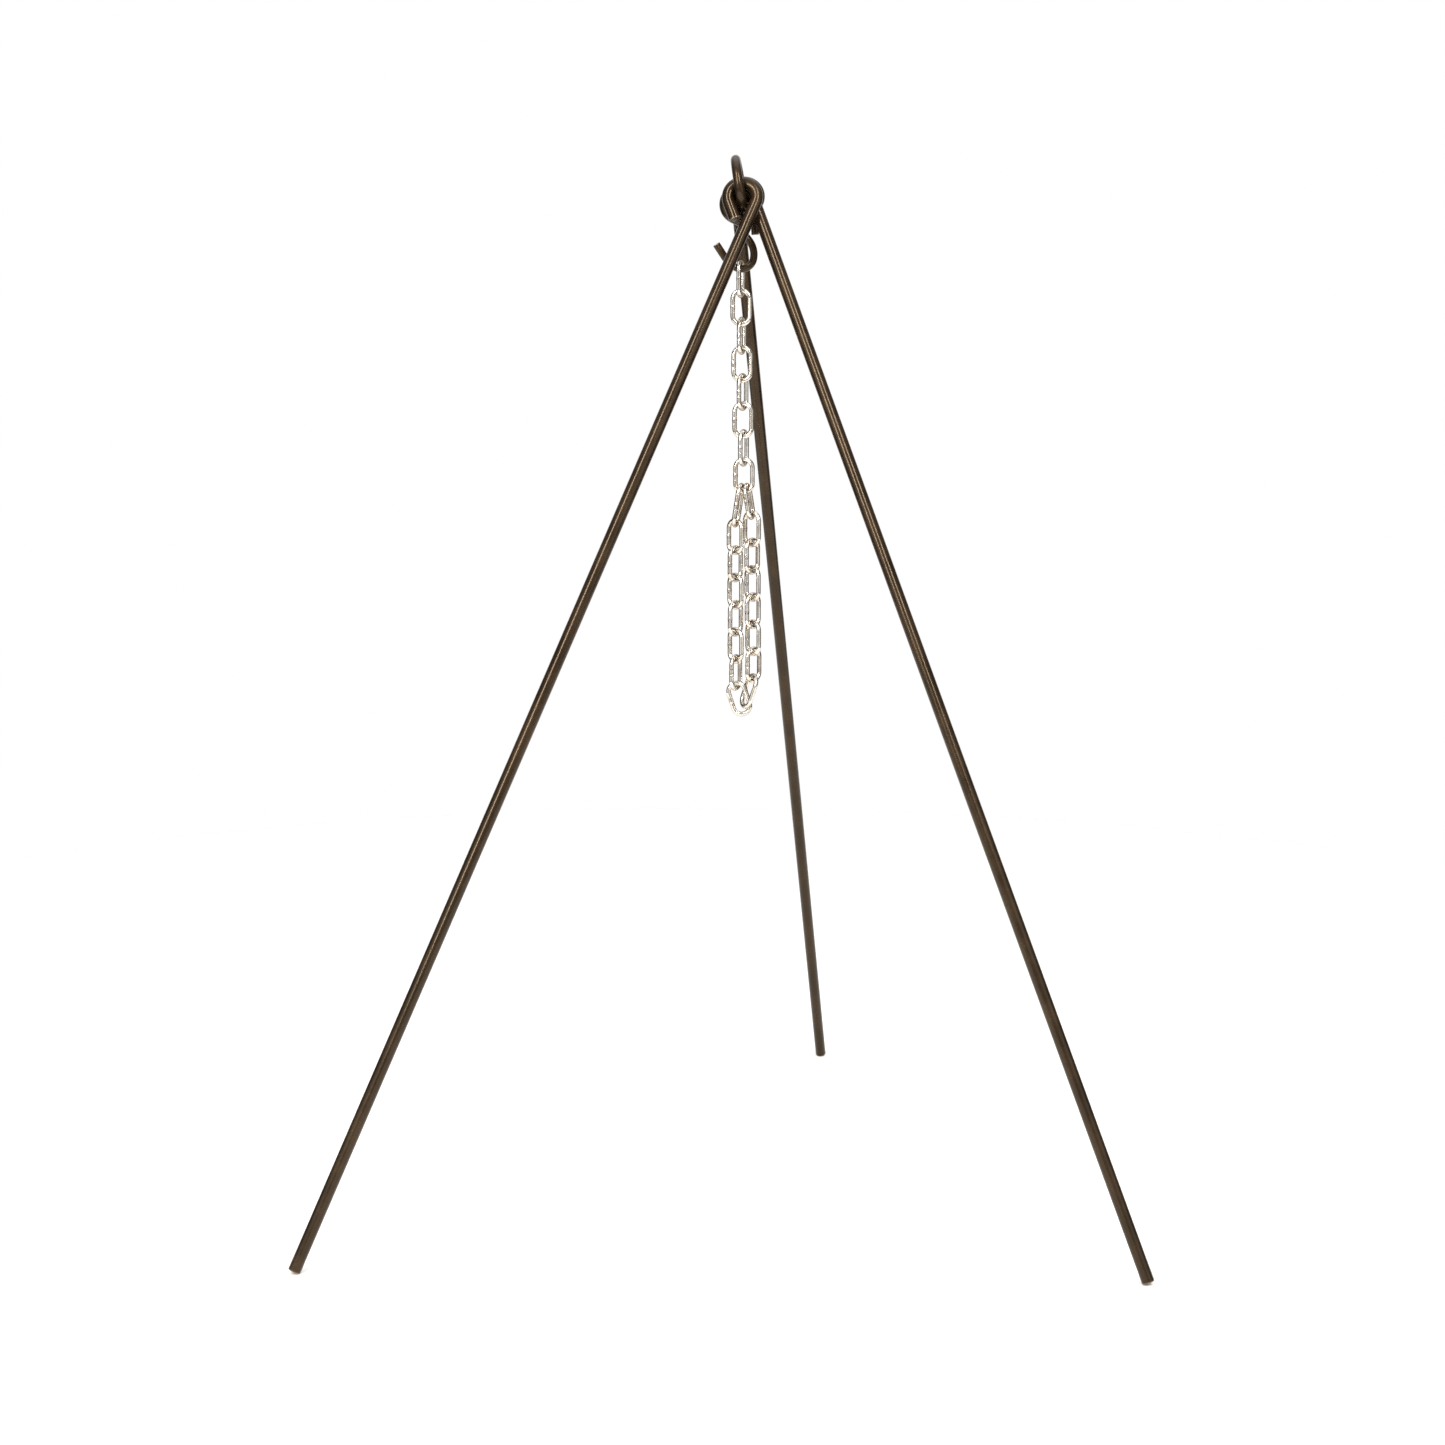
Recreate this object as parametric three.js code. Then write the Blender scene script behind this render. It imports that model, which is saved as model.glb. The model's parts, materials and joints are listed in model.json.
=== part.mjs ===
import * as THREE from 'three';

// Campfire cooking tripod: three round rods with bent eyes on a welded ring, an S-hook hung on
// the ring, and a welded link chain that splits into two strands meeting at the bottom.
// Millimetres, +Z up. While it is modelled, the ground is Z = 0 and the chain hangs close to
// the line X = 0, Y = 0. The whole part is moved at the end, so that the origin is the centre
// of the bounding box's base.

const deg = THREE.MathUtils.degToRad;

// ---- Leg rods ----
const ROD_RADIUS = 6.35;
const EYE_RADIUS = 14.2;
const EYE_SWEEP = 223;
const EYE_ARM = 18.8;
const NECK_RADIUS = 25;
// foot: where the rod's axis meets the ground plane; bend: where the shank's line reaches the
// height of the eye's start; twist: turn of the eye about the shank; neck: how far the rod is
// set over to the side, just below its eye.
const LEGS = [
  { name: 'left_leg', foot: [-431.8, -230.4], bend: [10.19, -15.89, 1026.02], twist: 146.6, neck: 0 },
  { name: 'right_leg', foot: [390.6, -243.7], bend: [7.76, -1.31, 1030.49], twist: 26.5, neck: 0 },
  { name: 'rear_leg', foot: [100.0, 464.5], bend: [-8.38, 19.45, 1032.65], twist: 104.9, neck: 6.7 },
];

// ---- Top ring ----
const RING_RADIUS = 24.0;
const RING_WIRE = 5.0;
const RING_CENTRE = [-5.66, 2.3, 1044.32];
const RING_LEAN = 9.6;
const RING_YAW = 2.3;

// ---- S-hook ----
const HOOK_WIRE = 3.8;
const HOOK_TOP = [-0.97, 10.0, 1032.15];
const HOOK_YAW = 5.2;
const HOOK_START = 93.4;
// Straights have a length; bends have a radius and a turn, positive to the left.
const HOOK_PIECES = [
  { length: 27.0 },
  { radius: 9.9, turn: 188.9 },
  { length: 9.6 },
  { radius: 26.0, turn: 27.1 },
  { length: 11.8 },
  { radius: 22.5, turn: -48.6 },
  { radius: 12.3, turn: -105.6 },
  { radius: 27.4, turn: -31.3 },
  { length: 16.1 },
];

// ---- Chain ----
const LINK_WIRE = 2.4;
const BOW_RADIUS = 8.6;
const LINK_STRAIGHT = 16.0;
const CLOSING_LINK_EXTRA = 8.0;
const GAP = 0.4;
// How far each link hangs to the right of the one above it.
const FIRST_DRIFT = 0.1;
const MAIN_DRIFT = 0.58;
const RIGHT_DRIFT = 0.45;
const LEFT_DRIFT = 0.2;
// Turn of each link about its own length; 0 is flat in the XZ plane.
const MAIN_TURNS = [76, 0, 73, 0, 65, 0, 68, 4];
const RIGHT_TURNS = [74, -36, 48, -45, 46, -48, 46, -62];
const LEFT_TURNS = [76, -41, 50, -45, 50, -46, 60, 0];
const STRAND_OFFSET = 2.7;
const STRAND_RISE = 7.0;
const RIGHT_TOP_TILT = 9.0;
const LEFT_TOP_TILT = -8.6;
const RIGHT_END_TILT = -18.0;
const LEFT_END_TILT = 18.0;

// ---- Finish and mesh fineness ----
const DARK_PAINT = 0x2b241f;
const ZINC = 0xb9bcbe;
const ROD_SIDES = 12;
const BEND_STEP = 11;

const paintedSteel = () => new THREE.MeshStandardMaterial({ color: DARK_PAINT, roughness: 0.5, metalness: 0.4 });
const zincSteel = () => new THREE.MeshStandardMaterial({ color: ZINC, roughness: 0.35, metalness: 0.9 });

// A rod's centreline in the local XZ plane, from the origin, made of straights and round bends.
class RodPath extends THREE.Curve {
  constructor(startAngle, pieces) {
    super();
    this.stations = [];
    let heading = deg(startAngle);
    let x = 0;
    let z = 0;
    const add = () => {
      const tangent = new THREE.Vector3(Math.cos(heading), 0, Math.sin(heading));
      this.stations.push({ point: new THREE.Vector3(x, 0, z), tangent });
    };
    add();
    for (const piece of pieces) {
      const steps = piece.length ? 1 : Math.ceil(Math.abs(piece.turn) / BEND_STEP);
      const turn = piece.length ? 0 : deg(piece.turn) / steps;
      const chord = piece.length ?? 2 * piece.radius * Math.sin(Math.abs(turn) / 2);
      for (let i = 0; i < steps; i += 1) {
        heading += turn / 2;
        x += chord * Math.cos(heading);
        z += chord * Math.sin(heading);
        heading += turn / 2;
        add();
      }
    }
    this.steps = this.stations.length - 1;
  }

  // Equal steps of t are the stations, so bends stay fine and straights stay plain.
  getUtoTmapping(u) {
    return u;
  }

  getPoint(t, target = new THREE.Vector3()) {
    return target.copy(this.stations[Math.round(t * this.steps)].point);
  }

  getTangent(t, target = new THREE.Vector3()) {
    return target.copy(this.stations[Math.round(t * this.steps)].tangent);
  }
}

// A round bar bent along a path, with square-cut ends.
function bentRod(radius, path) {
  const section = new THREE.Shape();
  section.absarc(0, 0, radius, 0, 2 * Math.PI, false);
  return new THREE.ExtrudeGeometry(section, {
    steps: path.steps,
    curveSegments: ROD_SIDES,
    bevelEnabled: false,
    extrudePath: path,
  });
}

// A group that is turned about Z, then leaned about the turned Y, then twisted about its own Z.
function placed(mesh, position, heading, lean, twist) {
  const stand = new THREE.Group();
  const tilt = new THREE.Group();
  stand.position.set(...position);
  stand.rotation.z = heading;
  tilt.rotation.y = lean;
  mesh.rotation.z = twist;
  tilt.add(mesh);
  stand.add(tilt);
  return stand;
}

// One leg: a straight shank whose top is bent back on itself into an open eye.
function leg({ name, foot, bend, twist, neck }) {
  const [dx, dy] = [bend[0] - foot[0], bend[1] - foot[1]];
  const reach = Math.hypot(dx, dy);
  let footHeight = 0;
  let lean = 0;
  // The cut end's lower edge rests on the ground, so the axis ends a little above it.
  for (let i = 0; i < 4; i += 1) {
    lean = Math.atan2(reach, bend[2] - footHeight);
    footHeight = ROD_RADIUS * Math.sin(lean);
  }
  const shank = Math.hypot(reach, bend[2] - footHeight);
  const neckTurn = THREE.MathUtils.radToDeg(Math.acos(1 - neck / (2 * NECK_RADIUS)));
  const neckHeight = 2 * NECK_RADIUS * Math.sin(deg(neckTurn));
  const set = [{ radius: NECK_RADIUS, turn: neckTurn }, { radius: NECK_RADIUS, turn: -neckTurn }];
  const path = new RodPath(90, [
    { length: shank - neckHeight },
    ...(neck ? set : []),
    { radius: EYE_RADIUS, turn: -EYE_SWEEP },
    { length: EYE_ARM },
  ]);
  const mesh = new THREE.Mesh(bentRod(ROD_RADIUS, path), paintedSteel());
  mesh.name = name;
  return placed(mesh, [foot[0], foot[1], footHeight], Math.atan2(dy, dx), lean, deg(twist));
}

// The round welded ring that the three eyes and the S-hook hang on.
function ring() {
  const mesh = new THREE.Mesh(new THREE.TorusGeometry(RING_RADIUS, RING_WIRE, 12, 44), paintedSteel());
  mesh.name = 'ring';
  mesh.position.set(...RING_CENTRE);
  mesh.rotation.set(0, deg(90 - RING_LEAN), -deg(RING_YAW), 'ZYX');
  return mesh;
}

// The S-hook: a small closed-in loop over the ring and an open bow that carries the chain.
function hook() {
  const path = new RodPath(HOOK_START, HOOK_PIECES);
  const tops = path.stations.map((station) => station.point);
  const top = tops.reduce((best, point) => (point.z > best.z ? point : best));
  const geometry = bentRod(HOOK_WIRE, path);
  geometry.translate(-top.x, 0, -top.z);
  const mesh = new THREE.Mesh(geometry, paintedSteel());
  mesh.name = 's_hook';
  mesh.position.set(...HOOK_TOP);
  mesh.rotation.z = deg(HOOK_YAW);
  return { mesh, bow: hookBow(path, top) };
}

// Centre of the wire at the lowest point of the hook's open bow.
function hookBow(path, top) {
  const low = path.stations
    .filter((station, index) => index > path.steps / 2)
    .map((station) => station.point)
    .reduce((best, point) => (point.z < best.z ? point : best));
  const offset = new THREE.Vector3(low.x - top.x, 0, low.z - top.z);
  offset.applyAxisAngle(new THREE.Vector3(0, 0, 1), deg(HOOK_YAW));
  return offset.add(new THREE.Vector3(...HOOK_TOP));
}

// One chain link, centred on the origin and standing in the XZ plane: two half-round bows
// joined by straight sides. The ring of wire is cut at its waist and pulled apart.
function linkGeometry(straight) {
  const around = 18;
  const halfStep = Math.PI / around;
  const geometry = new THREE.TorusGeometry(BOW_RADIUS / Math.cos(halfStep), LINK_WIRE, 8, around);
  geometry.rotateZ(halfStep);
  geometry.rotateX(Math.PI / 2);
  const position = geometry.getAttribute('position');
  for (let i = 0; i < position.count; i += 1) {
    position.setZ(i, position.getZ(i) + Math.sign(position.getZ(i)) * straight / 2);
  }
  return geometry;
}

// Hang a link by the centre of its top wire. Returns the centre of its bottom wire.
// tilt leans the link to the right (positive) going down. A link that leans in its own plane
// slides round the wire it hangs on, so its top moves the other way.
function hangLink(parent, name, hangPoint, turn, tilt = 0, extra = 0) {
  const straight = LINK_STRAIGHT + extra;
  const reach = straight / 2 + BOW_RADIUS;
  const slide = (2 * LINK_WIRE + GAP) * Math.sin(deg(tilt)) * Math.cos(deg(turn)) ** 2;
  const top = hangPoint.clone().add(new THREE.Vector3(-slide, 0, 0));
  const mesh = new THREE.Mesh(linkGeometry(straight), zincSteel());
  mesh.name = name;
  const hanger = new THREE.Group();
  hanger.position.copy(top);
  hanger.rotation.y = -deg(tilt);
  mesh.position.z = -reach;
  mesh.rotation.z = deg(turn);
  hanger.add(mesh);
  parent.add(hanger);
  const down = new THREE.Vector3(Math.sin(deg(tilt)), 0, -Math.cos(deg(tilt)));
  return top.clone().addScaledVector(down, 2 * reach);
}

// Where the next link's top wire goes, given the bottom wire of the link above.
function nextTop(bottom, drift) {
  return bottom.clone().add(new THREE.Vector3(drift, 0, 2 * LINK_WIRE + GAP));
}

// The single upper run, its links turned about a quarter turn from one to the next.
function mainChain(parent, bow) {
  let top = bow.clone().add(new THREE.Vector3(FIRST_DRIFT, 0, HOOK_WIRE + LINK_WIRE + GAP));
  let bottom = top;
  MAIN_TURNS.forEach((turn, i) => {
    bottom = hangLink(parent, `chain_link_${i + 1}`, top, turn);
    top = nextTop(bottom, MAIN_DRIFT);
  });
  return bottom;
}

// One of the two lower strands. Its first link leans outwards and its last leans inwards.
function strand(parent, { side, start, turns, topTilt, endTilt, extra, drift }) {
  let top = start;
  turns.forEach((turn, i) => {
    const tilts = { 0: topTilt, [turns.length - 1]: endTilt };
    const longer = i === 0 ? extra : 0;
    const name = `${side}_strand_link_${i + 1}`;
    const bottom = hangLink(parent, name, top, turn, tilts[i] ?? 0, longer);
    top = nextTop(bottom, drift);
  });
}

function tripod() {
  const group = new THREE.Group();
  group.name = 'campfire_tripod';
  group.add(ring());
  for (const spec of LEGS) {
    group.add(leg(spec));
  }
  const { mesh, bow } = hook();
  group.add(mesh);
  const fork = mainChain(group, bow);
  strand(group, {
    side: 'right',
    start: fork.clone().add(new THREE.Vector3(STRAND_OFFSET, 0, STRAND_RISE)),
    turns: RIGHT_TURNS,
    topTilt: RIGHT_TOP_TILT,
    endTilt: RIGHT_END_TILT,
    extra: 0,
    drift: RIGHT_DRIFT,
  });
  strand(group, {
    side: 'left',
    start: fork.clone().add(new THREE.Vector3(-STRAND_OFFSET, 0, STRAND_RISE)),
    turns: LEFT_TURNS,
    topTilt: LEFT_TOP_TILT,
    endTilt: LEFT_END_TILT,
    extra: CLOSING_LINK_EXTRA,
    drift: LEFT_DRIFT,
  });
  return group;
}

// Move the finished part so that the origin is the centre of the bounding box's base.
function centred(group) {
  group.updateMatrixWorld(true);
  const box = new THREE.Box3().setFromObject(group, true);
  const centre = box.getCenter(new THREE.Vector3());
  group.position.set(-centre.x, -centre.y, -box.min.z);
  group.updateMatrixWorld(true);
  return group;
}

export default centred(tripod());
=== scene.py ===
"""Looks for the campfire tripod: three bent-rod legs on a welded ring, an S-hook and a link chain.

Every piece is a finely swept bar that stands for one CAD node and rides on that node's body.
Sizes of the object are in millimetres, and become metres in Bar.finish and in make_camera.
The studio, from FLOOR_RADIUS on, is in metres.
"""

import json
import math

import bmesh
import bpy
from mathutils import Matrix, Vector

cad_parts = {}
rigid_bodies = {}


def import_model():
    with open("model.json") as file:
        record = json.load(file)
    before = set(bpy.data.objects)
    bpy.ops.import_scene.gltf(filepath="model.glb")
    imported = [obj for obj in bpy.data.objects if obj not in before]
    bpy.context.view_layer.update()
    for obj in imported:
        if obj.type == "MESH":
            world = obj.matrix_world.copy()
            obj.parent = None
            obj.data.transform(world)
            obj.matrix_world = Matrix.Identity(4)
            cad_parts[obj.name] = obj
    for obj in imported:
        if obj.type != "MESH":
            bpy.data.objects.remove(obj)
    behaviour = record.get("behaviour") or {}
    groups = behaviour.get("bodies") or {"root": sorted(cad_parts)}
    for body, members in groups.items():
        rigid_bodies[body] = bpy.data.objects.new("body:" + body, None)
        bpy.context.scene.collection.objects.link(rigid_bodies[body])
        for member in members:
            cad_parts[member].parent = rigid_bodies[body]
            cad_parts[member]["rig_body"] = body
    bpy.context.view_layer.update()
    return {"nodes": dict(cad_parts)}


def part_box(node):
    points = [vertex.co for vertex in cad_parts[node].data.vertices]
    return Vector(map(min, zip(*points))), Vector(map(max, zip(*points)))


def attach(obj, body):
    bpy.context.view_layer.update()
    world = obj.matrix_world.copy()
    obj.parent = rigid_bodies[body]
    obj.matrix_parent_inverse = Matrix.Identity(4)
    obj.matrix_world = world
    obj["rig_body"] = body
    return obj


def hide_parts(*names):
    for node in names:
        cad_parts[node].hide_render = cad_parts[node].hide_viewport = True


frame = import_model()

MM = 0.001

# ---- Bar radii, a hair under the CAD's so that the looks stay inside its box ----
LEG_BAR = 6.29
RING_BAR = 4.9
HOOK_BAR = 3.76
LINK_BAR = 2.32

# ---- Flat sides round each bar ----
LEG_SIDES = 40
RING_SIDES = 36
HOOK_SIDES = 32
LINK_SIDES = 22

# ---- Chamfers of the cut ends ----
LEG_CHAMFER = 0.55
HOOK_CHAMFER = 0.45

# ---- Leg shape: name, foot (x, y), start of the eye (x, y, z), twist, sideways set ----
LEGS = [
    ("left_leg", (-431.8, -230.4), (10.19, -15.89, 1026.02), 146.6, 0),
    ("right_leg", (390.6, -243.7), (7.76, -1.31, 1030.49), 26.5, 0),
    ("rear_leg", (100.0, 464.5), (-8.38, 19.45, 1032.65), 104.9, 6.7),
]
EYE_RADIUS = 14.2
EYE_SWEEP = 223
EYE_ARM = 18.8
NECK_RADIUS = 25
# The CAD rod's radius, which sets how far the cut end's centre stands above the ground.
CAD_LEG_BAR = 6.35

# ---- Ring ----
RING_RADIUS = 24.0
RING_CENTRE = Vector((-5.66, 2.3, 1044.32))
RING_LEAN = 9.6
RING_YAW = 2.3
RING_STEPS = 132
RING_FLASH_REACH = 4.0
RING_FLASH_RISE = 0.05

# ---- S-hook: ("straight", length) or ("bend", radius, turn) ----
HOOK_TOP = Vector((-0.97, 10.0, 1032.15))
HOOK_YAW = 5.2
HOOK_START = 93.4
HOOK_PIECES = [
    ("straight", 27.0),
    ("bend", 9.9, 188.9),
    ("straight", 9.6),
    ("bend", 26.0, 27.1),
    ("straight", 11.8),
    ("bend", 22.5, -48.6),
    ("bend", 12.3, -105.6),
    ("bend", 27.4, -31.3),
    ("straight", 16.1),
]

# ---- Chain: each link's turn about its own length, and the lean of the strands' end links ----
BOW_RADIUS = 8.6
LINK_STRAIGHT = 16.0
LONG_LINK = "left_strand_link_1"
LONG_LINK_STRAIGHT = 24.0
BOW_STEPS = 28
SIDE_STEPS = 26
CHAIN_TURNS = {
    "chain_link_": [76, 0, 73, 0, 65, 0, 68, 4],
    "right_strand_link_": [74, -36, 48, -45, 46, -48, 46, -62],
    "left_strand_link_": [76, -41, 50, -45, 50, -46, 60, 0],
}
END_TILTS = {
    "right_strand_link_1": 9.0,
    "right_strand_link_8": -18.0,
    "left_strand_link_1": -8.6,
    "left_strand_link_8": 18.0,
}

# ---- Link weld: reach along the side from its middle, and share of the wire's radius ----
FLASH_REACH, FLASH_RISE = 2.6, 0.075
LINE_REACH, LINE_SINK = 0.9, 0.03
SQUEEZE_PLACE, SQUEEZE_REACH, SQUEEZE_SINK = 3.4, 1.6, 0.03

# ---- Fineness of the swept paths: degrees for each step of a bend, mm for each of a straight ----
CAD_BEND_STEP = 11
FINE_BEND_STEP = 2.5
FINE_STRAIGHT_STEP = 60


def turned(angle, axis):
    return Matrix.Rotation(math.radians(angle), 4, axis)


def box_centre(node):
    low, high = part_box(node)
    return (low + high) / 2


# The CAD was modelled with the chain near X = 0, Y = 0 and then centred; this is that move, in mm.
SHIFT = box_centre("ring") / MM - RING_CENTRE


# ---------------------------------------------------------------- centrelines
def rod_path(start, pieces, bend_step, straight_step=None):
    """Stations (x, z, heading, distance, bend) of straights and round bends in a plane.

    bend is 1 in a bend to the left, -1 in one to the right and 0 in a straight.
    """
    heading = math.radians(start)
    x = z = run = 0.0
    stations = [(x, z, heading, run, 0.0)]
    for kind, size, *turn_degrees in pieces:
        if kind == "straight":
            count = math.ceil(size / straight_step) if straight_step else 1
            turn, bent = 0.0, 0.0
            chord = arc = size / count
        else:
            count = math.ceil(abs(turn_degrees[0]) / bend_step)
            turn = math.radians(turn_degrees[0]) / count
            chord = 2 * size * math.sin(abs(turn) / 2)
            arc = size * abs(turn)
            bent = math.copysign(1.0, turn)
        for _ in range(count):
            heading += turn / 2
            x += chord * math.cos(heading)
            z += chord * math.sin(heading)
            heading += turn / 2
            run += arc
            stations.append((x, z, heading, run, bent))
    return stations


def link_path(straight):
    """Closed centreline of a link, (x, z, heading): a bow, a side, the other bow and side."""
    stations = []
    for start, side in ((0.0, 1), (math.pi, -1)):
        for i in range(BOW_STEPS):
            a = start + math.pi * i / BOW_STEPS
            z = side * straight / 2 + BOW_RADIUS * math.sin(a)
            stations.append((BOW_RADIUS * math.cos(a), z, a + math.pi / 2))
        for i in range(SIDE_STEPS):
            z = side * (straight / 2 - straight * i / SIDE_STEPS)
            stations.append((-side * BOW_RADIUS, z, -side * math.pi / 2))
    return stations


# ---------------------------------------------------------------- swept bars
def swell(distance, width):
    """A smooth bump, 1 at distance 0 and 0 beyond width."""
    t = min(1.0, abs(distance) / width)
    return (1 - t * t) ** 2


def rubbed_inside(base, gain, power, inside=0.0):
    """Wear as a function of the angle round the bar: most on the side that faces inside."""
    return lambda a: base + gain * max(0.0, math.cos(a - inside)) ** power


class Bar:
    """A round bar swept along stations in the local XZ plane, built ring by ring."""

    # Of a cut end's saw dish: the inner ring's place between the centre and the rim, how much
    # deeper its middle is, and how bare both are.
    DISH_RING, DISH_DEPTH, DISH_RING_WEAR, DISH_MIDDLE_WEAR = 0.55, 1.4, 0.35, 0.2

    def __init__(self, name, sides):
        self.name = name
        self.sides = sides
        self.bm = bmesh.new()
        self.wear = self.bm.verts.layers.float.new("wear")
        self.seam = self.bm.verts.layers.float.new("seam")
        self.rings = []

    def ring(self, x, z, heading, radius, wear=0.0, seam=0.0, shape=None):
        """One ring of vertices. wear is a number or a function of the angle round the bar."""
        ring = []
        nx, nz = -math.sin(heading), math.cos(heading)
        for i in range(self.sides):
            a = 2 * math.pi * i / self.sides
            r = radius * (shape(a) if shape else 1.0)
            off = r * math.cos(a)
            vertex = self.bm.verts.new((x + nx * off, r * math.sin(a), z + nz * off))
            vertex[self.wear] = wear(a) if callable(wear) else wear
            vertex[self.seam] = seam
            ring.append(vertex)
        self.rings.append(ring)

    def skin(self, closed):
        """Join each ring of vertices to the next."""
        pairs = list(zip(self.rings, self.rings[1:]))
        if closed:
            pairs.append((self.rings[-1], self.rings[0]))
        for a, b in pairs:
            for i in range(self.sides):
                j = (i + 1) % self.sides
                self.bm.faces.new((a[i], a[j], b[j], b[i])).smooth = True

    def cap(self, ring, centre, sunk):
        """A cut end: a flat face with a shallow saw dish, its rim kept sharp."""
        inner = []
        for rim in ring:
            vertex = self.bm.verts.new(centre.lerp(rim.co, self.DISH_RING) + sunk)
            vertex[self.wear] = self.DISH_RING_WEAR
            inner.append(vertex)
        middle = self.bm.verts.new(centre + sunk * self.DISH_DEPTH)
        middle[self.wear] = self.DISH_MIDDLE_WEAR
        for i in range(self.sides):
            j = (i + 1) % self.sides
            self.bm.faces.new((ring[i], ring[j], inner[j], inner[i])).smooth = True
            self.bm.faces.new((inner[i], inner[j], middle)).smooth = True
            self.bm.edges.get((ring[i], ring[j])).smooth = False

    def finish(self, matrix, material):
        """The finished object: turned outwards, scaled to metres and put in place."""
        bmesh.ops.recalc_face_normals(self.bm, faces=self.bm.faces)
        self.bm.transform(Matrix.Scale(MM, 4) @ matrix)
        mesh = bpy.data.meshes.new(self.name)
        self.bm.to_mesh(mesh)
        self.bm.free()
        mesh.materials.append(material)
        piece = bpy.data.objects.new(self.name, mesh)
        bpy.context.scene.collection.objects.link(piece)
        return piece


# Rings at a cut end: distance in from the cut and cut below the radius, in chamfers; wear.
CHAMFER_RINGS = [(0.0, 1.0, 0.9), (0.35, 0.3, 1.0), (1, 0, 0.8), (3, 0, 0.35), (8, 0, 0.12)]
DISH_SINK = 0.12


def open_bar(name, stations, radius, sides, matrix, material, wear_at, chamfer):
    """A bent bar with square-cut, slightly chamfered ends."""
    bar = Bar(name, sides)

    def end_rings(station, inward):
        x, z, heading = station[:3]
        tx, tz = math.cos(heading) * inward, math.sin(heading) * inward
        return [
            (x + tx * chamfer * along, z + tz * chamfer * along, heading, radius - chamfer * cut, wear)
            for along, cut, wear in CHAMFER_RINGS
        ]

    for end_ring in end_rings(stations[0], 1):
        bar.ring(*end_ring)
    for x, z, heading, run, bent in stations[1:-1]:
        bar.ring(x, z, heading, radius, wear_at(run, bent))
    for end_ring in reversed(end_rings(stations[-1], -1)):
        bar.ring(*end_ring)
    bar.skin(False)
    for ring, station, sign in ((bar.rings[0], stations[0], 1), (bar.rings[-1], stations[-1], -1)):
        x, z, heading = station[:3]
        inward = Vector((math.cos(heading), 0, math.sin(heading))) * sign
        bar.cap(ring, Vector((x, 0, z)), inward * DISH_SINK)
    return bar.finish(matrix, material)


# ---------------------------------------------------------------- materials
class Nodes:
    """A short way to write a procedural material."""

    def __init__(self, name):
        self.material = bpy.data.materials.new(name)
        self.material.use_nodes = True
        self.tree = self.material.node_tree
        self.tree.nodes.clear()
        self.out = self.tree.nodes.new("ShaderNodeOutputMaterial")
        self.shader = self.tree.nodes.new("ShaderNodeBsdfPrincipled")
        self.link(self.shader.outputs["BSDF"], self.out.inputs["Surface"])
        self.coords = self.tree.nodes.new("ShaderNodeTexCoord").outputs["Object"]

    def link(self, a, b):
        self.tree.links.new(a, b)

    def set(self, socket, value):
        """Link an output to the socket, or give it a plain value."""
        if hasattr(value, "is_linked"):
            self.link(value, socket)
        else:
            socket.default_value = value

    def look(self, **values):
        """Set the shader's sockets; Base_Color is "Base Color"."""
        for name, value in values.items():
            self.set(self.shader.inputs[name.replace("_", " ")], value)

    def noise(self, scale, detail, rough, distort=0.0):
        n = self.tree.nodes.new("ShaderNodeTexNoise")
        n.inputs["Scale"].default_value = scale
        n.inputs["Detail"].default_value = detail
        n.inputs["Roughness"].default_value = rough
        n.inputs["Distortion"].default_value = distort
        self.link(self.coords, n.inputs["Vector"])
        return n.outputs["Fac"]

    def attribute(self, name):
        n = self.tree.nodes.new("ShaderNodeAttribute")
        n.attribute_name = name
        return n.outputs["Fac"]

    def math(self, operation, a, b):
        n = self.tree.nodes.new("ShaderNodeMath")
        n.operation = operation
        self.set(n.inputs[0], a)
        self.set(n.inputs[1], b)
        return n.outputs[0]

    def add(self, a, b):
        return self.math("ADD", a, b)

    def times(self, a, b):
        return self.math("MULTIPLY", a, b)

    def spread(self, value, low, high, to_low=0.0, to_high=1.0):
        """A soft step from to_low at low to to_high at high."""
        n = self.tree.nodes.new("ShaderNodeMapRange")
        n.interpolation_type = "SMOOTHSTEP"
        self.set(n.inputs["Value"], value)
        n.inputs["From Min"].default_value = low
        n.inputs["From Max"].default_value = high
        n.inputs["To Min"].default_value = to_low
        n.inputs["To Max"].default_value = to_high
        return n.outputs["Result"]

    def mix(self, factor, a, b):
        n = self.tree.nodes.new("ShaderNodeMix")
        n.data_type = "RGBA"
        self.set(n.inputs["Factor"], factor)
        self.set(n.inputs["A"], a)
        self.set(n.inputs["B"], b)
        return n.outputs["Result"]

    def bump(self, height, strength, distance, normal=None):
        n = self.tree.nodes.new("ShaderNodeBump")
        n.inputs["Strength"].default_value = strength
        n.inputs["Distance"].default_value = distance
        self.link(height, n.inputs["Height"])
        if normal is not None:
            self.link(normal, n.inputs["Normal"])
        return n.outputs["Normal"]


# Linear colours of the paint, from clean to rubbed through.
PAINT_DARK = (0.0085, 0.0050, 0.0024, 1)
PAINT_WARM = (0.0190, 0.0112, 0.0055, 1)
PAINT_DUST = (0.060, 0.043, 0.029, 1)
PAINT_BARE = (0.17, 0.135, 0.10, 1)
PAINT_SHEEN = (1.0, 0.77, 0.55, 1)
DUST_SHARE = 0.35
BARE_SHARE = 0.75
BARE_METAL = 0.55

# Linear colours of the zinc, of its welds, and of the painted shade that darkens the wire's rims.
ZINC_BRIGHT = (0.76, 0.72, 0.66, 1)
ZINC_CLOUDY = (0.50, 0.46, 0.40, 1)
ZINC_WARM = (0.50, 0.40, 0.29, 1)
ZINC_BURNT = (0.10, 0.085, 0.07, 1)
ZINC_RIM_PAINTED_SHADE = (0.26, 0.19, 0.13, 1)
WARM_SHARE = 0.35
BURNT_SHARE = 0.85
BURNT_ROUGHNESS = 0.3


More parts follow.
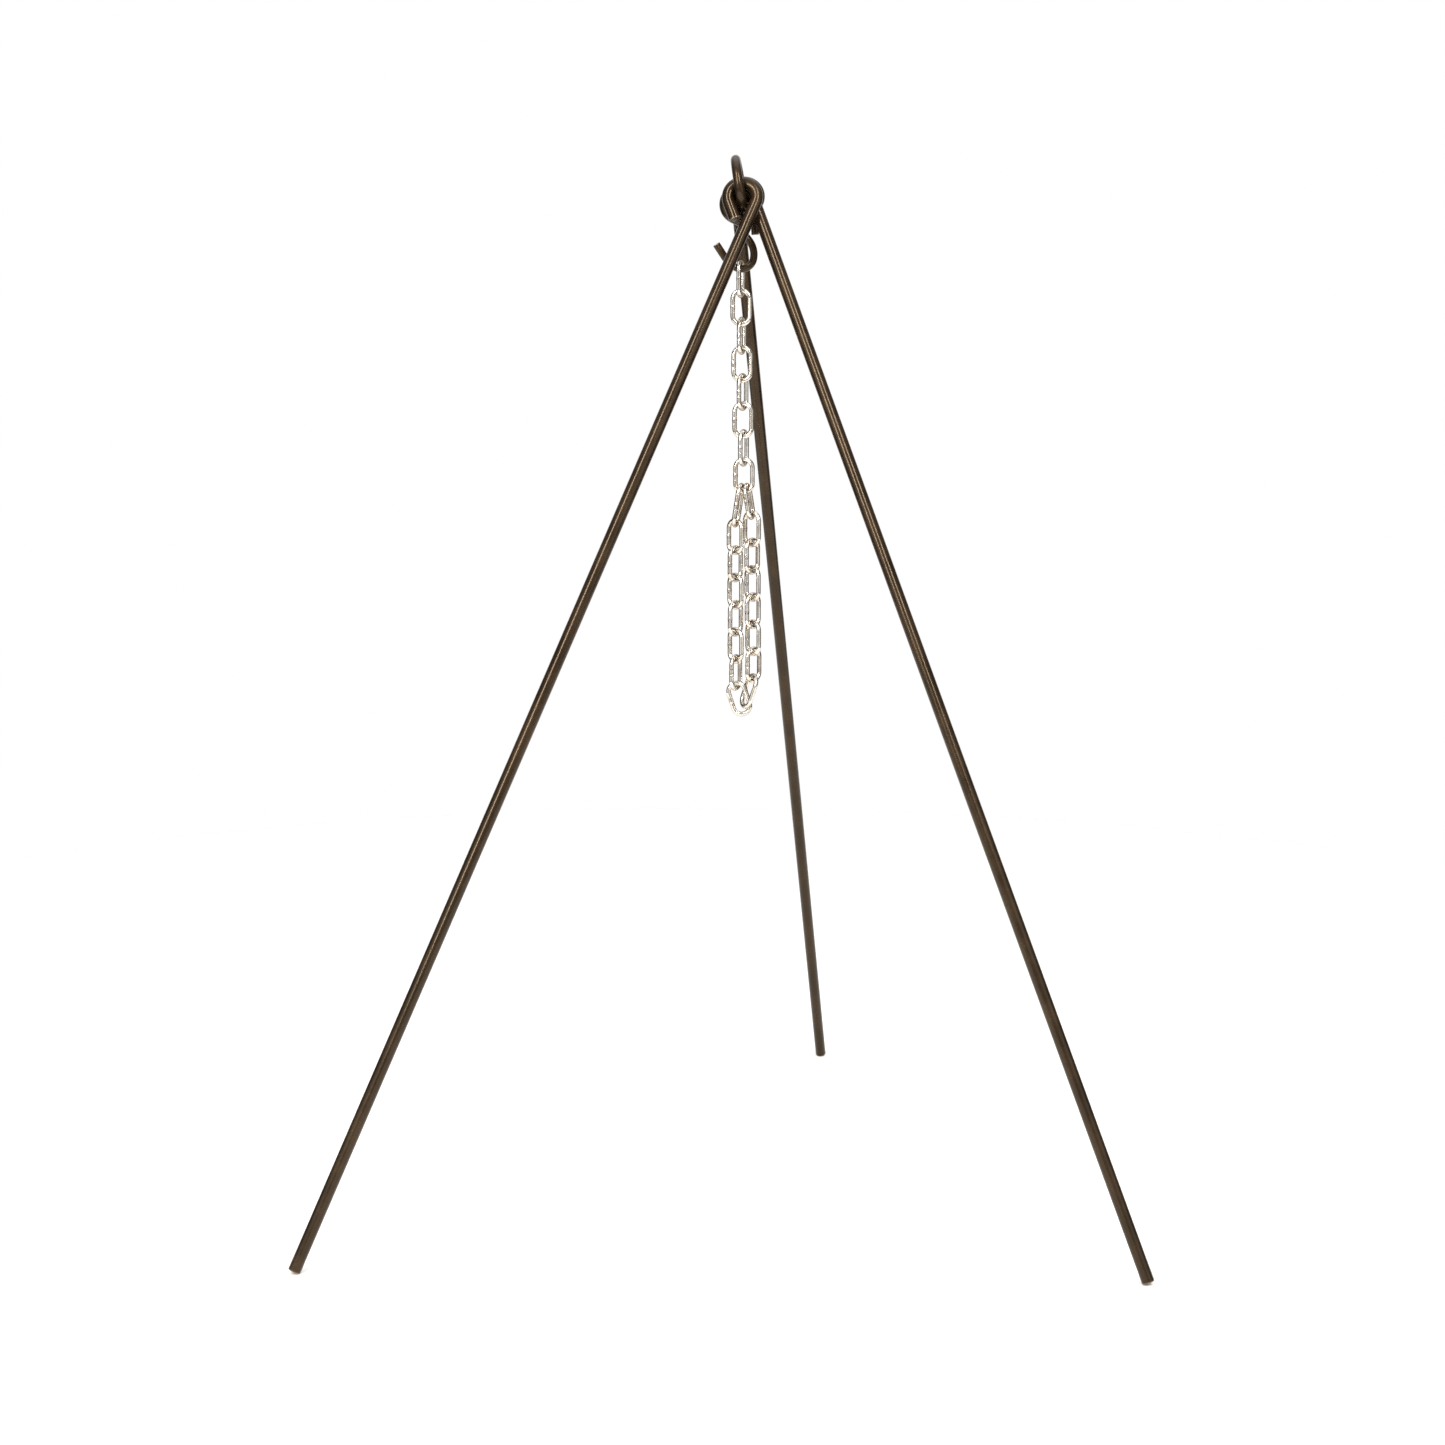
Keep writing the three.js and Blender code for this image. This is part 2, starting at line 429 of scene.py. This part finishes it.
def painted_steel():
    """Satin brown-black paint on round bar: orange peel, dust, scuffs and rubbed edges."""
    m = Nodes("dark_painted_steel")
    blotch = m.noise(26, 5, 0.6)
    grain = m.noise(340, 3, 0.55)
    peel = m.noise(1300, 2, 0.5)
    speck = m.noise(420, 6, 0.75)
    scuff = m.noise(150, 7, 0.7, 0.6)
    body = m.mix(m.spread(blotch, 0.36, 0.66), PAINT_DARK, PAINT_WARM)
    body = m.mix(m.times(m.spread(speck, 0.60, 0.72), DUST_SHARE), body, PAINT_DUST)
    worn = m.add(m.times(m.attribute("wear"), 0.72), m.times(scuff, 0.62))
    rubbed = m.spread(worn, 0.60, 0.80)
    rough = m.add(m.spread(blotch, 0.3, 0.7, 0.20, 0.26), m.spread(grain, 0.3, 0.7, -0.015, 0.03))
    coarse = m.bump(blotch, 0.06, 0.0004)
    fine = m.bump(grain, 0.02, 0.00003, coarse)
    m.look(
        Base_Color=m.mix(m.times(rubbed, BARE_SHARE), body, PAINT_BARE),
        Metallic=m.times(rubbed, BARE_METAL),
        Roughness=rough,
        Specular_IOR_Level=0.4,
        Specular_Tint=PAINT_SHEEN,
        Normal=m.bump(peel, 0.01, 0.00001, fine),
    )
    return m.material


def zinc_steel():
    """Bright zinc plate on drawn wire: faint cloudiness, draw lines, a dark fused weld seam and
    painted shade on the rims.
    """
    m = Nodes("zinc_plated_steel")
    cloud = m.noise(120, 5, 0.62)
    tint = m.noise(55, 3, 0.5)
    fine = m.noise(1500, 4, 0.6)
    scratch = m.noise(700, 5, 0.7, 1.2)
    plate = m.mix(m.spread(cloud, 0.38, 0.68), ZINC_BRIGHT, ZINC_CLOUDY)
    plate = m.mix(m.times(m.spread(tint, 0.50, 0.68), WARM_SHARE), plate, ZINC_WARM)
    ragged = m.times(m.math("SUBTRACT", fine, 0.5), 0.5)
    burnt = m.spread(m.add(m.attribute("seam"), ragged), 0.45, 0.9)
    lines = m.bump(scratch, 0.006, 0.00001)
    m.look(
        Base_Color=m.mix(m.times(burnt, BURNT_SHARE), plate, ZINC_BURNT),
        Metallic=1.0,
        Roughness=m.add(m.spread(cloud, 0.3, 0.7, 0.09, 0.16), m.times(burnt, BURNT_ROUGHNESS)),
        # The edge tint is painted shade: it turns the wire's reflection dark brown towards its rims.
        Specular_Tint=ZINC_RIM_PAINTED_SHADE,
        Normal=m.bump(cloud, 0.02, 0.00005, lines),
    )
    return m.material


PAINT = painted_steel()
ZINC = zinc_steel()


# ---------------------------------------------------------------- pieces
def stand_for(piece, node):
    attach(piece, frame["nodes"][node]["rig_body"])
    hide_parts(node)


def make_leg(name, foot, bend, twist, neck):
    dx, dy = bend[0] - foot[0], bend[1] - foot[1]
    reach = math.hypot(dx, dy)
    foot_height = lean = 0.0
    # The cut end's lower edge rests on the ground, so the axis ends a little above it.
    for _ in range(4):
        lean = math.atan2(reach, bend[2] - foot_height)
        foot_height = CAD_LEG_BAR * math.sin(lean)
    shank = math.hypot(reach, bend[2] - foot_height)
    neck_turn = math.degrees(math.acos(1 - neck / (2 * NECK_RADIUS)))
    neck_height = 2 * NECK_RADIUS * math.sin(math.radians(neck_turn))
    pieces = [("straight", shank - neck_height)]
    if neck:
        pieces += [("bend", NECK_RADIUS, neck_turn), ("bend", NECK_RADIUS, -neck_turn)]
    pieces += [("bend", EYE_RADIUS, -EYE_SWEEP), ("straight", EYE_ARM)]
    matrix = (
        Matrix.Translation(Vector((foot[0], foot[1], foot_height)) + SHIFT)
        @ turned(math.degrees(math.atan2(dy, dx)), "Z")
        @ Matrix.Rotation(lean, 4, "Y")
        @ turned(twist, "Z")
    )

    def wear_at(run, bent):
        # Paint rubs off inside the eye, and is scuffed on the last stretch above the ground.
        if bent == 0:
            return 0.30 * swell(run, 160)
        return rubbed_inside(0.08, 0.38, 6, 0 if bent > 0 else math.pi)

    path = rod_path(90, pieces, FINE_BEND_STEP, FINE_STRAIGHT_STEP)
    return open_bar(name + "_bar", path, LEG_BAR, LEG_SIDES, matrix, PAINT, wear_at, LEG_CHAMFER)


def make_ring():
    bar = Bar("ring_bar", RING_SIDES)
    # The inner side is rubbed by the eyes and the hook.
    wear = rubbed_inside(0.10, 0.5, 3)
    for i in range(RING_STEPS):
        a = 2 * math.pi * i / RING_STEPS
        away = min(i, RING_STEPS - i) / RING_STEPS * 2 * math.pi * RING_RADIUS
        flash = swell(away, RING_FLASH_REACH)
        x, z = RING_RADIUS * math.cos(a), RING_RADIUS * math.sin(a)

        def shape(b, flash=flash):
            return 1 + RING_FLASH_RISE * flash * max(0.0, -math.cos(b))

        bar.ring(x, z, a + math.pi / 2, RING_BAR, wear, flash, shape)
    bar.skin(True)
    # The path is swept in XZ; the ring's axis is turned to where the CAD torus's axis points.
    matrix = (
        Matrix.Translation(RING_CENTRE + SHIFT)
        @ turned(-RING_YAW, "Z")
        @ turned(90 - RING_LEAN, "Y")
        @ turned(90, "X")
    )
    return bar.finish(matrix, PAINT)


def make_hook():
    # The hook hangs by the highest station of the CAD's own, coarser path.
    top = max(rod_path(HOOK_START, HOOK_PIECES, CAD_BEND_STEP), key=lambda station: station[1])
    matrix = (
        Matrix.Translation(HOOK_TOP + SHIFT)
        @ turned(HOOK_YAW, "Z")
        @ Matrix.Translation(Vector((-top[0], 0, -top[1])))
    )

    def wear_at(_, bent):
        if bent == 0:
            return 0.06
        return rubbed_inside(0.10, 0.55, 4, 0 if bent > 0 else math.pi)

    path = rod_path(HOOK_START, HOOK_PIECES, FINE_BEND_STEP, FINE_STRAIGHT_STEP)
    return open_bar("s_hook_bar", path, HOOK_BAR, HOOK_SIDES, matrix, PAINT, wear_at, HOOK_CHAMFER)


def make_link(node, turn, tilt, straight):
    bar = Bar(node + "_wire", LINK_SIDES)
    for x, z, heading in link_path(straight):
        # The butt weld is halfway down one side: a low flash with a fused line in its middle.
        on_weld_side = x < -BOW_RADIUS * 0.999
        flash = swell(z, FLASH_REACH) if on_weld_side else 0.0
        line = swell(z, LINE_REACH) if on_weld_side else 0.0
        squeeze = swell(abs(z) - SQUEEZE_PLACE, SQUEEZE_REACH) if on_weld_side else 0.0
        radius = LINK_BAR * (1 + FLASH_RISE * flash - SQUEEZE_SINK * squeeze - LINE_SINK * line)
        bar.ring(x, z, heading, radius, 0.0, line)
    bar.skin(True)
    matrix = Matrix.Translation(box_centre(node) / MM) @ turned(-tilt, "Y") @ turned(turn, "Z")
    return bar.finish(matrix, ZINC)


for spec in LEGS:
    stand_for(make_leg(*spec), spec[0])
stand_for(make_ring(), "ring")
stand_for(make_hook(), "s_hook")
for prefix, turns in CHAIN_TURNS.items():
    for number, turn in enumerate(turns, 1):
        node = f"{prefix}{number}"
        straight = LONG_LINK_STRAIGHT if node == LONG_LINK else LINK_STRAIGHT
        link = make_link(node, turn, END_TILTS.get(node, 0.0), straight)
        stand_for(link, node)


# ---------------------------------------------------------------- floor, light, camera (metres)
FLOOR_RADIUS = 1.9
FLOOR_PALE = (0.95, 0.95, 0.95, 1)
FLOOR_WHITE = (0.97, 0.97, 0.97, 1)
WHITE = (1, 1, 1, 1)

# Strength of the studio's walls behind, above and in front of the object, and of all the rest.
SIDE_GLOW = 0.08
TOP_GLOW = 0.9
BACK_GLOW = 1.0
FRONT_GLOW = 0.6

# Name, place, aim, size, watts, colour.
WARM_STRIP = (1, 0.95, 0.88)
WARM_PANEL = (1, 0.97, 0.93)
LIGHTS = [
    ("strip_left", (-1.12, -2.25, 1.9), (-0.05, 0, 0.8), (0.42, 2.2), 84, WARM_STRIP),
    ("strip_right", (1.12, -2.25, 2.3), (0.05, 0, 0.8), (0.38, 1.6), 60, WARM_STRIP),
    ("panel_left", (-2.0, -1.67, 0.8), (0, 0, 0.8), (1.8, 1.5), 11, WARM_PANEL),
    ("panel_right", (2.0, -1.67, 0.8), (0, 0, 0.8), (1.8, 1.5), 11, WARM_PANEL),
    ("overhead", (0, 0.3, 3.2), (0, 0, 0), (2.5, 2.5), 20, (1, 1, 1)),
]

# The camera that was fitted to the photograph: place in the CAD's first frame, in mm.
CAMERA_PLACE = Vector((0, -2309.5, 888.84))
CAMERA_YAW = -0.5255
CAMERA_PITCH = 9.46
CAMERA_ROLL = 0.16
SENSOR_WIDTH = 36
LENS = 56.6782
CLIP_START = 0.05
CLIP_END = 100


def make_floor():
    bm = bmesh.new()
    bmesh.ops.create_circle(bm, cap_ends=True, segments=128, radius=FLOOR_RADIUS)
    mesh = bpy.data.meshes.new("floor")
    bm.to_mesh(mesh)
    bm.free()
    m = Nodes("floor")
    tone = m.spread(m.noise(1.5, 2, 0.5), 0.3, 0.7)
    m.look(Base_Color=m.mix(tone, FLOOR_PALE, FLOOR_WHITE), Roughness=0.9, Specular_IOR_Level=0.1)
    mesh.materials.append(m.material)
    floor = bpy.data.objects.new("floor", mesh)
    bpy.context.scene.collection.objects.link(floor)


def make_light(name, place, aim, size, power, colour):
    data = bpy.data.lights.new(name, "AREA")
    data.shape = "RECTANGLE"
    data.size, data.size_y = size
    data.energy = power
    data.color = colour
    lamp = bpy.data.objects.new(name, data)
    lamp.location = place
    lamp.rotation_euler = (Vector(aim) - Vector(place)).to_track_quat("-Z", "Y").to_euler()
    lamp.visible_camera = False
    bpy.context.scene.collection.objects.link(lamp)


def make_world():
    """A pale studio: white behind the object and overhead, dim to the sides, softer in front."""
    world = bpy.data.worlds.new("studio")
    bpy.context.scene.world = world
    world.use_nodes = True
    tree = world.node_tree
    tree.nodes.clear()
    coords = tree.nodes.new("ShaderNodeTexCoord")
    split = tree.nodes.new("ShaderNodeSeparateXYZ")
    tree.links.new(coords.outputs["Generated"], split.inputs[0])

    def ramp(axis, low, high, glow):
        n = tree.nodes.new("ShaderNodeMapRange")
        n.interpolation_type = "SMOOTHSTEP"
        n.inputs["From Min"].default_value = low
        n.inputs["From Max"].default_value = high
        n.inputs["To Min"].default_value = SIDE_GLOW
        n.inputs["To Max"].default_value = glow
        tree.links.new(split.outputs[axis], n.inputs["Value"])
        return n.outputs["Result"]

    def either(a, b):
        n = tree.nodes.new("ShaderNodeMath")
        n.operation = "MAXIMUM"
        tree.links.new(a, n.inputs[0])
        tree.links.new(b, n.inputs[1])
        return n.outputs[0]

    def background(strength):
        n = tree.nodes.new("ShaderNodeBackground")
        n.inputs["Color"].default_value = WHITE
        n.inputs["Strength"].default_value = strength
        return n

    walls = either(ramp("Y", 0.55, 0.80, BACK_GLOW), ramp("Z", 0.30, 0.90, TOP_GLOW))
    walls = either(walls, ramp("Y", -0.70, -0.92, FRONT_GLOW))
    studio = background(1.0)
    tree.links.new(walls, studio.inputs["Strength"])
    plain = background(1.0)
    # What is seen directly is plain white; the uneven studio only lights the object.
    seen = tree.nodes.new("ShaderNodeLightPath").outputs["Is Camera Ray"]
    choose = tree.nodes.new("ShaderNodeMixShader")
    out = tree.nodes.new("ShaderNodeOutputWorld")
    tree.links.new(seen, choose.inputs[0])
    tree.links.new(studio.outputs[0], choose.inputs[1])
    tree.links.new(plain.outputs[0], choose.inputs[2])
    tree.links.new(choose.outputs[0], out.inputs[0])


def make_camera():
    yaw, pitch, roll = (math.radians(a) for a in (CAMERA_YAW, CAMERA_PITCH, CAMERA_ROLL))
    level = math.cos(pitch)
    ahead = Vector((math.sin(yaw) * level, math.cos(yaw) * level, -math.sin(pitch)))
    right = ahead.cross(Vector((0, 0, 1))).normalized()
    up = right.cross(ahead)
    across = math.cos(roll) * right + math.sin(roll) * up
    upward = across.cross(ahead)
    data = bpy.data.cameras.new("camera")
    data.sensor_width = SENSOR_WIDTH
    data.lens = LENS
    data.clip_start = CLIP_START
    data.clip_end = CLIP_END
    camera = bpy.data.objects.new("camera", data)
    basis = Matrix((across, upward, -ahead)).transposed().to_4x4()
    camera.matrix_world = Matrix.Translation((SHIFT + CAMERA_PLACE) * MM) @ basis
    bpy.context.scene.collection.objects.link(camera)
    bpy.context.scene.camera = camera


make_floor()
make_world()
for light in LIGHTS:
    make_light(*light)
make_camera()
bpy.context.scene.view_settings.view_transform = "Standard"
